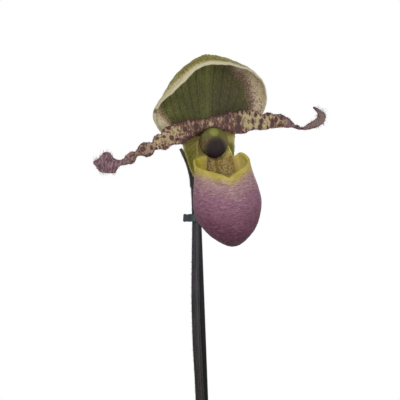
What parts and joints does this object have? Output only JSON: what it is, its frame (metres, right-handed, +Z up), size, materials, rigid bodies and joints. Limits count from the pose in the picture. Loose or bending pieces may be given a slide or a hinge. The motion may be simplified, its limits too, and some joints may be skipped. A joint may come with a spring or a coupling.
{
  "type": "potted slipper orchid",
  "caption": "Slipper orchid in flower on a staked upright stalk, with arching strap leaves, in bark in a plain round clay pot.",
  "frame": {"origin": "middle of the pot's underside, on the surface it stands on", "axes": "+Z up along the pot; the flower faces -Y, with the viewer on that side and +X to the right"},
  "size_m": [0.3685, 0.2007, 0.3734],
  "materials": {
    "clay": "plain fired clay, matte",
    "bark": "rough bark chips",
    "sheath": "fresh pale green leaf bases",
    "leaf": "fresh waxy leaf, faintly mottled",
    "stalk": "downy dark stalk",
    "stake": "dark painted stake, satin",
    "tie": "grey-green strap",
    "bract": "dark green bract",
    "ovary": "downy, ribbed",
    "hood": "green petal tissue with dark veins and a pale freckled edge",
    "bib": "yellow-green petal tissue with fine freckles",
    "petal": "cream petal tissue with maroon blotches",
    "pouch": "mauve pouch with fine dashes and a yellow rim",
    "column": "cream",
    "shield": "glossy green and dark purple"
  },
  "bodies": {
    "root": {"pot": "clay", "bark_mix": "bark", "shoot_old": "sheath", "shoot_new": "sheath", "leaf_1": "leaf", "leaf_2": "leaf", "leaf_3": "leaf", "leaf_4": "leaf", "leaf_5": "leaf", "leaf_6": "leaf", "leaf_7": "leaf", "leaf_8": "leaf", "leaf_9": "leaf", "flower_stalk": "stalk", "stake": "stake", "stake_tie": "tie", "bract": "bract", "ovary": "ovary", "dorsal_sepal": "hood", "lower_sepals": "bib", "petal_left": "petal", "petal_right": "petal", "pouch": "pouch", "column": "column", "column_shield": "shield"}
  },
  "joints": []
}
